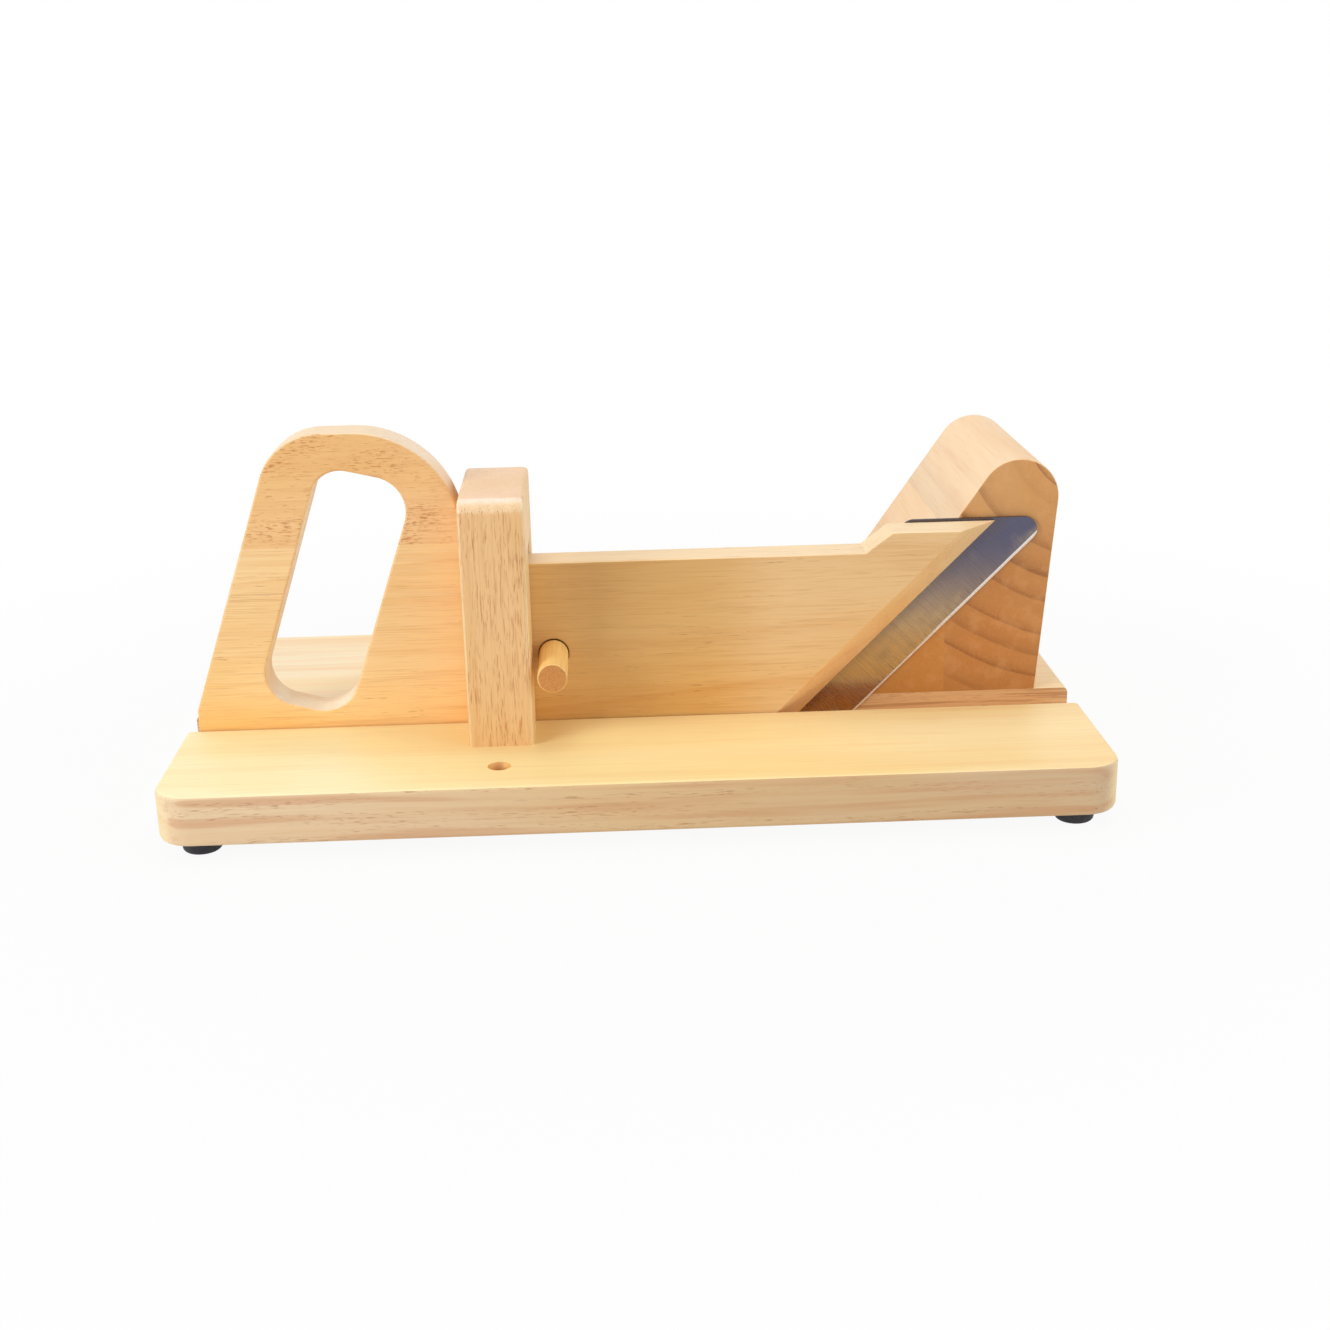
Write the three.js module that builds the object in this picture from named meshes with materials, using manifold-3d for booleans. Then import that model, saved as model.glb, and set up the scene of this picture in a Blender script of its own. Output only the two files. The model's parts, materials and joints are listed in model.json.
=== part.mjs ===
// Wooden sausage slicer: a blade on a sliding carriage that runs in a grooved base,
// through a guide arch, and cuts against a slanted anvil block. Millimetres, +Z up.
// Origin: middle of the base, on the surface that the feet stand on. The handle is at -X
// and the user's side is -Y. Modelled closed, as it is stored, with the lock pin in place.
import * as THREE from 'three';
import { mergeVertices } from 'three/addons/utils/BufferGeometryUtils.js';
import Module from 'manifold-3d';

const wasm = await Module();
wasm.setup();

// Base board
const BASE_LENGTH = 285;
const BASE_DEPTH = 155;
const BASE_THICK = 15.8;
const BASE_CORNER = 11;
const BASE_EDGE = 1.5;
const FRONT_RAIL = 55.3;
const CHANNEL_DEPTH = 10;

// Carriage bar and its running fits
const CARRIAGE_THICK = 13.2;
const CARRIAGE_RISE = 51.6;
const CARRIAGE_EDGE = 0.8;
const FRONT_CLEAR = 0.5;
const FLOOR_CLEAR = 0.3;
const SHOULDER_CLEAR = 0.3;
const RAISED_END_STEP = 6.25;
const RAMP_LENGTH = 8.3;
const RAMP_BEFORE_TIP = 34.6;
const END_BEVEL = 9;
const TIP_FLAT = 1;
const GLUE_LINE_ABOVE_BAR = 7.25;

// Handle, measured back from the shoulder that meets the arch. A share is of its length, a drop
// is from its top and a rise is from the base's top.
const HANDLE_LENGTH = 86.5;
const HANDLE_ABOVE_BAR = 42.5;
const HANDLE_LEAN = THREE.MathUtils.degToRad(70.7);
const HEEL_RISE = 6.6;
const HANDLE_BACK_RADIUS_SHARE = 0.228;
const HANDLE_FRONT_RADIUS_SHARE = 0.373;
const GRIP_CORNERS = [
  { share: 0.489, drop: 10, radius: 9.1 },
  { share: 0.775, rise: 10.9, radius: 10.4 },
  { share: 0.453, rise: 3.2, radius: 11.4 },
  { share: 0.157, drop: 16.9, radius: 10.9 },
];

// Blade, with its slanted lines measured square to the sharp edge
const BLADE_THICK = 0.9;
const BLADE_CLEAR = 0.35;
const BLADE_ANGLE = THREE.MathUtils.degToRad(45);
const BLADE_WIDTH = 33.7;
const BLADE_SHOWING = 13.7;
const BLADE_CORNER = 4.4;
const BLADE_PROUD = 0.75;
const BLADE_FLOOR_GAP = 0.7;
const BLADE_GRIND = 0.9;
const BLADE_LAND = 0.1;
const BLADE_PASS = 13.9;

// Guide arch
const ARCH_SETBACK = 90.75;
const ARCH_WIDTH = 19.8;
const ARCH_FRONT_LEG = 22.1;
const ARCH_REAR_LEG = 13.2;
const ARCH_BRIDGE = 21.1;
const ARCH_CORNER = 5;
const ARCH_EDGE = 1.2;
const ARCH_HEADROOM = 4.5;

// Anvil block
const ANVIL_END_MARGIN = 10.95;
const ANVIL_BACK_MARGIN = 8.5;
const ANVIL_RISE = 77;
const ANVIL_TOP_RADIUS = 12.8;
const ANVIL_SLANT = THREE.MathUtils.degToRad(55.1);
const ANVIL_OVERHANG = THREE.MathUtils.degToRad(4.6);
const ANVIL_EDGE = 0.8;
const ANVIL_GLUE_LINE = 30.35;

// Lock pin, which stands beside the arch and keeps the carriage closed
const PIN_DIA = 9.2;
const PIN_LENGTH = 24.3;
const PIN_RISE = 22.1;
const PIN_CHAMFER = 0.35;
const PIN_TAIL_CHAMFER = 0.3;
const PIN_ARCH_GAP = 1.95;
const PIN_SEAT_GAP = 0.3;
const PIN_HOLE_CLEAR = 0.3;
const PIN_HOLE_DEPTH = 10;

// Rubber feet
const FOOT_HEIGHT = 5;
const FOOT_TOP_DIA = 13.4;
const FOOT_BOTTOM_DIA = 11.8;
const FOOT_ROUND = 1.4;
const FOOT_INSET_X = 12;
const FOOT_INSET_Y = 11.2;
const FOOT_WELL_DEPTH = 2.8;

// Fasteners
const HOLE_CLEAR = 0.3;
const HEAD_RIM = 0.3;
const WOOD_SCREW = { shank: 4, head: 8, length: 32, point: 3 };
const BLADE_SCREW = { shank: 3, head: 6, length: 11, point: 2 };
const FOOT_SCREW = { shank: 3, head: 5.4, headHeight: 1.8, crown: 0.6, length: 12, point: 2 };
const DRIVE_ARM = 0.28;
const DRIVE_HALF_WIDTH = 0.08;
const DRIVE_DEPTH = 0.8;
const FIXING_HOLE = { bore: 3.8, mouth: 7, sink: 2.8, inset: 16.8 };
const BLADE_SCREW_COUNT = 3;
const ANVIL_SCREW_INSET = 18;
const ANVIL_SCREW_FROM_GLUE = 14;

// Fineness of round forms, and how far a cutter runs past what it cuts
const ROUND_SIDES = 28;
const SCREW_SIDES = 14;
const ARC_STEPS = 12;
const EDGE_STEPS = 2;
const FOOT_RIM_STEPS = 3;
const OVERCUT = 5;

// Planes that the pieces share
const baseTop = FOOT_HEIGHT + BASE_THICK;
const baseLeft = -BASE_LENGTH / 2;
const baseRight = BASE_LENGTH / 2;
const baseFront = -BASE_DEPTH / 2;
const baseBack = BASE_DEPTH / 2;
const channelFront = baseFront + FRONT_RAIL;
const channelFloor = baseTop - CHANNEL_DEPTH;
const carriageFront = channelFront + FRONT_CLEAR;
const carriageBack = carriageFront + CARRIAGE_THICK;
const bladeBack = carriageBack + BLADE_THICK;
const channelBack = bladeBack + BLADE_CLEAR;
const carriageBottom = channelFloor + FLOOR_CLEAR;
const carriageTop = baseTop + CARRIAGE_RISE;
const raisedTop = carriageTop + RAISED_END_STEP;
const glueLine = carriageTop + GLUE_LINE_ABOVE_BAR;
const handleTop = carriageTop + HANDLE_ABOVE_BAR;
const archLeft = baseLeft + ARCH_SETBACK;
const archRight = archLeft + ARCH_WIDTH;
const archMiddle = archLeft + ARCH_WIDTH / 2;
const archFront = channelFront - ARCH_FRONT_LEG;
const archBack = channelBack + ARCH_REAR_LEG;
const slotTop = carriageTop + ARCH_HEADROOM;
const archTop = slotTop + ARCH_BRIDGE;
const shoulder = archLeft - SHOULDER_CLEAR;
const heel = shoulder - HANDLE_LENGTH;
const pinX = archRight + PIN_ARCH_GAP + PIN_DIA / 2;
const pinZ = baseTop + PIN_RISE;
const anvilRight = baseRight - ANVIL_END_MARGIN;
const anvilGlue = anvilRight - ANVIL_GLUE_LINE;
const anvilBack = baseBack - ANVIL_BACK_MARGIN;

// The anvil's rounded top is tangent to its slanted face and to its overhanging end, so
// its height and radius set how far the slanted face runs out along the base.
const anvilRoundRise = ANVIL_RISE - ANVIL_TOP_RADIUS;
const anvilRoundX =
  anvilRight + anvilRoundRise * Math.tan(ANVIL_OVERHANG) - ANVIL_TOP_RADIUS / Math.cos(ANVIL_OVERHANG);
const anvilLeft =
  anvilRoundX - anvilRoundRise / Math.tan(ANVIL_SLANT) - ANVIL_TOP_RADIUS / Math.sin(ANVIL_SLANT);

// The sharp edge crosses the base's top a set distance past the foot of the anvil's face.
const edgeAlong = new THREE.Vector3(Math.cos(BLADE_ANGLE), 0, Math.sin(BLADE_ANGLE));
const edgeOutward = new THREE.Vector3(Math.sin(BLADE_ANGLE), 0, -Math.cos(BLADE_ANGLE));
const edgeFoot = new THREE.Vector3(anvilLeft + BLADE_PASS, 0, baseTop);
const bladeTop = raisedTop + BLADE_PROUD;
const bladeBottom = channelFloor + BLADE_FLOOR_GAP;
const tipOffset = -BLADE_SHOWING;
const bevelOffset = tipOffset - END_BEVEL;

// X of a line parallel to the sharp edge, at an outward offset from it and at a height.
function slantX(offset, z) {
  return edgeFoot.x + offset / Math.sin(BLADE_ANGLE) + (z - baseTop) / Math.tan(BLADE_ANGLE);
}

const AXIS_X = new THREE.Vector3(1, 0, 0);
const AXIS_Y = new THREE.Vector3(0, 1, 0);
const AXIS_Z = new THREE.Vector3(0, 0, 1);
const TO_FRONT = new THREE.Vector3(0, -1, 0);
const DOWNWARD = new THREE.Vector3(0, 0, -1);

// Closed solid from a geometry, without the empty triangles that a turned piece has on its axis.
function toSolid(geometry) {
  const bare = geometry.clone();
  bare.deleteAttribute('normal');
  bare.deleteAttribute('uv');
  const merged = mergeVertices(bare);
  const index = merged.index.array;
  const triangles = [];
  for (let i = 0; i < index.length; i += 3) {
    const [a, b, c] = index.subarray(i, i + 3);
    if (a !== b && b !== c && c !== a) {
      triangles.push(a, b, c);
    }
  }
  return new wasm.Manifold(new wasm.Mesh({
    numProp: 3,
    vertProperties: new Float32Array(merged.attributes.position.array),
    triVerts: new Uint32Array(triangles),
  }));
}

function toGeometry(solid) {
  const mesh = solid.getMesh();
  const geometry = new THREE.BufferGeometry();
  geometry.setAttribute('position', new THREE.BufferAttribute(mesh.vertProperties, 3));
  geometry.setIndex(new THREE.BufferAttribute(mesh.triVerts, 1));
  geometry.computeVertexNormals();
  return geometry;
}

function cut(geometry, tools) {
  const solid = tools.reduce((rest, tool) => rest.subtract(toSolid(tool)), toSolid(geometry));
  return toGeometry(solid);
}

function keep(geometry, tool) {
  return toGeometry(toSolid(geometry).intersect(toSolid(tool)));
}

function boxBetween(low, high) {
  const size = high.map((value, axis) => value - low[axis]);
  const middle = high.map((value, axis) => (value + low[axis]) / 2);
  return new THREE.BoxGeometry(...size).translate(...middle);
}

// Turns a geometry so that its own x, y and z axes lie along the given directions.
function turned(geometry, x, y, z) {
  return geometry.applyMatrix4(new THREE.Matrix4().makeBasis(x, y, z));
}

// Outline through corner points, each rounded by its own radius where it has one.
function roundedOutline(corners, OutlineType = THREE.Shape) {
  const outline = new OutlineType();
  corners.forEach((corner, i) => {
    const here = new THREE.Vector2(corner.x, corner.y);
    const before = corners.at(i - 1);
    const after = corners[(i + 1) % corners.length];
    const toBefore = new THREE.Vector2(before.x, before.y).sub(here).normalize();
    const toAfter = new THREE.Vector2(after.x, after.y).sub(here).normalize();
    const halfAngle = Math.acos(toBefore.dot(toAfter)) / 2;
    const radius = corner.radius ?? 0;
    const run = radius / Math.tan(halfAngle);
    const start = here.clone().addScaledVector(toBefore, run);
    if (i === 0) {
      outline.moveTo(start.x, start.y);
    } else {
      outline.lineTo(start.x, start.y);
    }
    if (radius > 0) {
      const inward = toBefore.clone().add(toAfter).normalize();
      const centre = here.clone().addScaledVector(inward, radius / Math.sin(halfAngle));
      const end = here.clone().addScaledVector(toAfter, run);
      const startAngle = start.clone().sub(centre).angle();
      const endAngle = end.clone().sub(centre).angle();
      const clockwise = toBefore.cross(toAfter) > 0;
      outline.absarc(centre.x, centre.y, radius, startAngle, endAngle, clockwise);
    }
  });
  outline.closePath();
  return outline;
}

// Extrusion from 0 to a thickness, with both of its outline edges eased where an edge is given.
function softExtrude(shape, thickness, edge = 0) {
  const solid = new THREE.ExtrudeGeometry(shape, {
    depth: thickness - 2 * edge,
    curveSegments: ARC_STEPS,
    bevelEnabled: edge > 0,
    bevelThickness: edge,
    bevelSize: edge,
    bevelOffset: -edge,
    bevelSegments: EDGE_STEPS,
  });
  return solid.translate(0, 0, edge);
}

// A side profile, drawn in X and Z, made solid from its back face towards the front.
function sideSolid(shape, back, thickness, edge) {
  return turned(softExtrude(shape, thickness, edge), AXIS_X, AXIS_Z, TO_FRONT).translate(0, back, 0);
}

// A turned piece from [radius, height] points, standing along +Z.
function turnedPiece(points, sides = ROUND_SIDES) {
  const profile = points.map(([radius, height]) => new THREE.Vector2(radius, height));
  return new THREE.LatheGeometry(profile, sides).rotateX(Math.PI / 2);
}

// Long cutter along the blade's direction. It clears what lies outside a plane that runs from
// an inner offset at the front to an outer offset at the back, and trims square behind that.
function bevelCutter(inner, outer, front, back, trimTo = back) {
  const slope = (outer - inner) / (back - front);
  const clearOf = outer + CARRIAGE_THICK;
  const points = [
    new THREE.Vector2(inner - slope * OVERCUT, front - OVERCUT),
    new THREE.Vector2(clearOf, front - OVERCUT),
    new THREE.Vector2(clearOf, trimTo),
    new THREE.Vector2(outer, back),
  ];
  if (trimTo > back) {
    points.splice(3, 0, new THREE.Vector2(outer, trimTo));
  }
  const cutter = softExtrude(new THREE.Shape(points), 2 * BASE_LENGTH).translate(0, 0, -BASE_LENGTH);
  return turned(cutter, edgeOutward, AXIS_Y, edgeAlong).translate(edgeFoot.x, 0, edgeFoot.z);
}

// Countersunk screw standing on its head at z = 0 or, with a clearance, the hole for it.
function countersunk({ shank, head, length, point }, clear = 0) {
  const shankRadius = shank / 2 + clear;
  const headRadius = head / 2 + clear;
  const bottom = clear > 0 ? -OVERCUT : 0;
  return turnedPiece([
    [0, bottom],
    [headRadius, bottom],
    [headRadius, HEAD_RIM],
    [shankRadius, HEAD_RIM + headRadius - shankRadius],
    [shankRadius, length - point + clear],
    [0, length + 2 * clear],
  ], SCREW_SIDES);
}

// Cross recess for a screw head that stands at z = 0.
function driveRecess({ head }) {
  const arm = head * DRIVE_ARM;
  const half = head * DRIVE_HALF_WIDTH;
  return [
    boxBetween([-arm, -half, -OVERCUT], [arm, half, DRIVE_DEPTH]),
    boxBetween([-half, -arm, -OVERCUT], [half, arm, DRIVE_DEPTH]),
  ];
}

// Pan-headed foot screw, standing on its head at z = 0.
function panScrew({ shank, head, headHeight, crown, length, point }) {
  return turnedPiece([
    [0, 0],
    [head / 2 - crown, 0],
    [head / 2, crown],
    [head / 2, headHeight],
    [shank / 2, headHeight],
    [shank / 2, length - point],
    [0, length],
  ], SCREW_SIDES);
}

// Pilot hole for a foot screw, with the screw's head at z = 0.
function footPilot({ shank, length }) {
  const radius = shank / 2 + HOLE_CLEAR;
  const top = length + HOLE_CLEAR;
  return turnedPiece([[0, 0], [radius, 0], [radius, top], [0, top]], SCREW_SIDES);
}

// Places of the fasteners and feet, by the names of their pieces
const archScrews = {
  arch_screw_front: [archMiddle, (archFront + channelFront) / 2],
  arch_screw_rear: [archMiddle, (archBack + channelBack) / 2],
};
const anvilScrews = {
  anvil_screw_left: [anvilGlue - ANVIL_SCREW_FROM_GLUE, (channelBack + anvilBack) / 2],
  anvil_screw_front: [anvilGlue + ANVIL_SCREW_FROM_GLUE, channelBack + ANVIL_SCREW_INSET],
  anvil_screw_rear: [anvilGlue + ANVIL_SCREW_FROM_GLUE, anvilBack - ANVIL_SCREW_INSET],
};
const corners = {
  front_left: [baseLeft + FOOT_INSET_X, baseFront + FOOT_INSET_Y],
  front_right: [baseRight - FOOT_INSET_X, baseFront + FOOT_INSET_Y],
  rear_left: [baseLeft + FOOT_INSET_X, baseBack - FOOT_INSET_Y],
  rear_right: [baseRight - FOOT_INSET_X, baseBack - FOOT_INSET_Y],
};
const footScrewBottom = FOOT_WELL_DEPTH - FOOT_SCREW.headHeight;

// Blade screws share out the blade's height, half way between its back edge and the wood's bevel.
const bladeScrews = {};
for (let i = 1; i <= BLADE_SCREW_COUNT; i += 1) {
  const z = bladeBottom + (bladeTop - bladeBottom) * i / (BLADE_SCREW_COUNT + 1);
  bladeScrews[`blade_screw_${i}`] = [slantX((bevelOffset - BLADE_WIDTH) / 2, z), z];
}

function woodScrewHoles(places) {
  return Object.values(places).map(
    ([x, y]) => countersunk(WOOD_SCREW, HOLE_CLEAR).translate(x, y, FOOT_HEIGHT),
  );
}

// A blade screw or its hole, turned to run forward into the wood.
function forward(geometry) {
  return turned(geometry, AXIS_X, AXIS_Z, TO_FRONT);
}

function bladeScrewHoles() {
  return Object.values(bladeScrews).map(
    ([x, z]) => forward(countersunk(BLADE_SCREW, HOLE_CLEAR)).translate(x, bladeBack, z),
  );
}

// Grooved board with eased edges, a countersunk fixing hole, and screw holes underneath.
function baseBoard() {
  const plan = roundedOutline([
    { x: baseLeft, y: baseFront, radius: BASE_CORNER },
    { x: baseRight, y: baseFront, radius: BASE_CORNER },
    { x: baseRight, y: baseBack, radius: BASE_CORNER },
    { x: baseLeft, y: baseBack, radius: BASE_CORNER },
  ]);
  const board = softExtrude(plan, BASE_THICK, BASE_EDGE).translate(0, 0, FOOT_HEIGHT);
  const channel = boxBetween(
    [baseLeft - OVERCUT, channelFront, channelFloor],
    [baseRight + OVERCUT, channelBack, baseTop + OVERCUT],
  );
  const boreRadius = FIXING_HOLE.bore / 2;
  const mouthRadius = FIXING_HOLE.mouth / 2;
  const fixingHole = turnedPiece([
    [0, FOOT_HEIGHT - OVERCUT],
    [boreRadius, FOOT_HEIGHT - OVERCUT],
    [boreRadius, baseTop - FIXING_HOLE.sink],
    [mouthRadius, baseTop],
    [mouthRadius, baseTop + OVERCUT],
    [0, baseTop + OVERCUT],
  ]).translate(archMiddle, baseFront + FIXING_HOLE.inset, 0);
  const footHoles = Object.values(corners).map(
    ([x, y]) => footPilot(FOOT_SCREW).translate(x, y, footScrewBottom),
  );
  return cut(board, [
    channel,
    fixingHole,
    ...woodScrewHoles(archScrews),
    ...woodScrewHoles(anvilScrews),
    ...footHoles,
  ]);
}

// Inverted U that the carriage runs through, with its legs cut square on the base.
function guideArch() {
  const below = baseTop - OVERCUT;
  const profile = roundedOutline([
    { x: archFront, y: below },
    { x: channelFront, y: below },
    { x: channelFront, y: slotTop },
    { x: channelBack, y: slotTop },
    { x: channelBack, y: below },
    { x: archBack, y: below },
    { x: archBack, y: archTop, radius: ARCH_CORNER },
    { x: archFront, y: archTop, radius: ARCH_CORNER },
  ]);
  const arch = turned(softExtrude(profile, ARCH_WIDTH, ARCH_EDGE), AXIS_Y, AXIS_Z, AXIS_X);
  arch.translate(archLeft, 0, 0);
  const underBase = boxBetween(
    [archLeft - OVERCUT, archFront - OVERCUT, below - OVERCUT],
    [archRight + OVERCUT, archBack + OVERCUT, baseTop],
  );
  return cut(arch, [underBase, ...woodScrewHoles(archScrews)]);
}

// Handle, low bar, ramp and raised end in one outline, with stock left at the slanted end.
function carriageBlank() {
  const heelTop = baseTop + HEEL_RISE;
  const leanRun = (handleTop - heelTop) / Math.tan(HANDLE_LEAN);
  const rampTop = slantX(tipOffset, raisedTop) - RAMP_BEFORE_TIP;
  const stockOffset = tipOffset + OVERCUT;
  const outline = roundedOutline([
    { x: heel, y: carriageBottom },
    { x: slantX(stockOffset, carriageBottom), y: carriageBottom },
    { x: slantX(stockOffset, raisedTop), y: raisedTop },
    { x: rampTop, y: raisedTop },
    { x: rampTop - RAMP_LENGTH, y: carriageTop },
    { x: shoulder, y: carriageTop },
    { x: shoulder, y: handleTop, radius: HANDLE_LENGTH * HANDLE_FRONT_RADIUS_SHARE },
    { x: heel + leanRun, y: handleTop, radius: HANDLE_LENGTH * HANDLE_BACK_RADIUS_SHARE },
    { x: heel, y: heelTop },
  ]);
  const grip = GRIP_CORNERS.map(({ share, rise, drop, radius }) => ({
    x: shoulder - HANDLE_LENGTH * share,
    y: drop === undefined ? baseTop + rise : handleTop - drop,
    radius,
  }));
  outline.holes.push(roundedOutline(grip, THREE.Path));
  return sideSolid(outline, carriageBack, CARRIAGE_THICK, CARRIAGE_EDGE);
}

// Box round the part of the carriage that the handle's upper lamination makes.
function upperLamination() {
  return boxBetween(
    [heel - OVERCUT, carriageFront - OVERCUT, glueLine],
    [shoulder + OVERCUT, carriageBack + OVERCUT, handleTop + OVERCUT],
  );
}

// Lower lamination: the whole bar, bevelled towards the blade, with the pin's blind hole.
function carriageBoard(blank) {
  const endBevel = bevelCutter(
    bevelOffset,
    tipOffset,
    carriageFront,
    carriageBack - TIP_FLAT,
    carriageBack + OVERCUT,
  );
  const holeRadius = PIN_DIA / 2 + PIN_HOLE_CLEAR;
  const pinHole = turnedPiece([
    [0, -OVERCUT],
    [holeRadius, -OVERCUT],
    [holeRadius, PIN_HOLE_DEPTH],
    [0, PIN_HOLE_DEPTH],
  ]);
  turned(pinHole, AXIS_X, DOWNWARD, AXIS_Y).translate(pinX, carriageFront, pinZ);
  return cut(blank, [upperLamination(), endBevel, pinHole, ...bladeScrewHoles()]);
}

// Slanted strip with rounded upper corners, ground on its front along the sharp edge.
function bladePlate() {
  const outline = roundedOutline([
    { x: slantX(-BLADE_WIDTH, bladeBottom), y: bladeBottom },
    { x: slantX(0, bladeBottom), y: bladeBottom },
    { x: slantX(0, bladeTop), y: bladeTop, radius: BLADE_CORNER },
    { x: slantX(-BLADE_WIDTH, bladeTop), y: bladeTop, radius: BLADE_CORNER },
  ]);
  const plate = sideSolid(outline, bladeBack, BLADE_THICK);
  const grind = bevelCutter(-BLADE_GRIND, 0, carriageBack, bladeBack - BLADE_LAND);
  return cut(plate, [grind, ...bladeScrewHoles()]);
}

// The anvil before its two laminations are parted, cut square on the base.
function anvilBlock() {
  const below = baseTop - OVERCUT;
  const spread = 1 / Math.tan(ANVIL_SLANT) - Math.tan(ANVIL_OVERHANG);
  const apexRise = (anvilRight - anvilLeft) / spread;
  const profile = roundedOutline([
    { x: anvilLeft - OVERCUT / Math.tan(ANVIL_SLANT), y: below },
    { x: anvilRight - OVERCUT * Math.tan(ANVIL_OVERHANG), y: below },
    {
      x: anvilRight + apexRise * Math.tan(ANVIL_OVERHANG),
      y: baseTop + apexRise,
      radius: ANVIL_TOP_RADIUS,
    },
  ]);
  const block = sideSolid(profile, anvilBack, anvilBack - channelBack, ANVIL_EDGE);
  const underBase = boxBetween(
    [anvilLeft - 2 * OVERCUT, channelBack - OVERCUT, below - OVERCUT],
    [anvilRight + OVERCUT, anvilBack + OVERCUT, baseTop],
  );
  return cut(block, [underBase, ...woodScrewHoles(anvilScrews)]);
}

// Everything of the anvil that lies between two X planes.
function anvilLamination(block, from, to) {
  return keep(block, boxBetween(
    [from, channelBack - OVERCUT, baseTop - OVERCUT],
    [to, anvilBack + OVERCUT, baseTop + ANVIL_RISE + OVERCUT],
  ));
}

// Dowel with chamfered ends, standing out of the carriage towards the user.
function lockPin() {
  const radius = PIN_DIA / 2;
  return forward(turnedPiece([
    [0, 0],
    [radius - PIN_TAIL_CHAMFER, 0],
    [radius, PIN_TAIL_CHAMFER],
    [radius, PIN_LENGTH - PIN_CHAMFER],
    [radius - PIN_CHAMFER, PIN_LENGTH],
    [0, PIN_LENGTH],
  ]));
}

// Tapered rubber foot with a well underneath that hides its screw's head.
function rubberFoot() {
  const wellRadius = FOOT_SCREW.head / 2 + HOLE_CLEAR;
  const shankRadius = FOOT_SCREW.shank / 2 + HOLE_CLEAR;
  const bottomRadius = FOOT_BOTTOM_DIA / 2;
  const rim = new THREE.Path().absarc(
    bottomRadius - FOOT_ROUND,
    FOOT_ROUND,
    FOOT_ROUND,
    -Math.PI / 2,
    0,
  );
  return turnedPiece([
    [wellRadius, 0],
    ...rim.getPoints(FOOT_RIM_STEPS).map(({ x, y }) => [x, y]),
    [FOOT_TOP_DIA / 2, FOOT_HEIGHT],
    [shankRadius, FOOT_HEIGHT],
    [shankRadius, FOOT_WELL_DEPTH],
    [wellRadius, FOOT_WELL_DEPTH],
    [wellRadius, 0],
  ]);
}

// Finishes
function finish(color, roughness, metalness = 0) {
  return new THREE.MeshStandardMaterial({ color, roughness, metalness });
}

const PALE_WOOD = finish(0xf2d9a2, 0.55);
const TAN_WOOD = finish(0xdfb67c, 0.55);
const GOLDEN_WOOD = finish(0xe3b26a, 0.5);
const DARK_WOOD = finish(0xc98f50, 0.5);
const STEEL = finish(0xb9bcc2, 0.3, 1);
const ZINC = finish(0xa8a9a6, 0.4, 1);
const RUBBER = finish(0x26252a, 0.8);

function piece(name, geometry, material, place = [0, 0, 0]) {
  const mesh = new THREE.Mesh(toGeometry(toSolid(geometry)), material);
  mesh.name = name;
  mesh.position.set(...place);
  return mesh;
}

// Everything that stands still
const base = new THREE.Group();
const anvil = anvilBlock();
base.add(
  piece('base_board', baseBoard(), PALE_WOOD),
  piece('guide_arch', guideArch(), TAN_WOOD),
  piece('anvil_left', anvilLamination(anvil, anvilLeft - OVERCUT, anvilGlue), DARK_WOOD),
  piece('anvil_right', anvilLamination(anvil, anvilGlue, baseRight + OVERCUT), DARK_WOOD),
);
const woodScrew = cut(countersunk(WOOD_SCREW), driveRecess(WOOD_SCREW));
for (const [name, [x, y]] of Object.entries({ ...archScrews, ...anvilScrews })) {
  base.add(piece(name, woodScrew, ZINC, [x, y, FOOT_HEIGHT]));
}
const foot = rubberFoot();
const footScrew = cut(panScrew(FOOT_SCREW), driveRecess(FOOT_SCREW));
for (const [corner, [x, y]] of Object.entries(corners)) {
  base.add(piece(`foot_${corner}`, foot, RUBBER, [x, y, 0]));
  base.add(piece(`foot_screw_${corner}`, footScrew, ZINC, [x, y, footScrewBottom]));
}

// Everything that slides along the channel
const carriage = new THREE.Group();
const blank = carriageBlank();
carriage.add(
  piece('carriage_board', carriageBoard(blank), GOLDEN_WOOD),
  piece('handle_top', keep(blank, upperLamination()), TAN_WOOD),
  piece('blade', bladePlate(), STEEL),
);
const bladeScrew = forward(cut(countersunk(BLADE_SCREW), driveRecess(BLADE_SCREW)));
for (const [name, [x, z]] of Object.entries(bladeScrews)) {
  carriage.add(piece(name, bladeScrew, ZINC, [x, bladeBack, z]));
}

// The lock pin, which comes out by hand
const pin = piece('lock_pin', lockPin(), GOLDEN_WOOD, [pinX, carriageFront - PIN_SEAT_GAP, pinZ]);

const slicer = new THREE.Group();
slicer.add(base, carriage, pin);

export default slicer;
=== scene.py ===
"""Looks of the wooden sausage slicer: oiled wood, a ground steel blade and rubber feet on a pale floor."""
import json
import math

import bmesh
import bpy
from mathutils import Matrix, Vector


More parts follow.
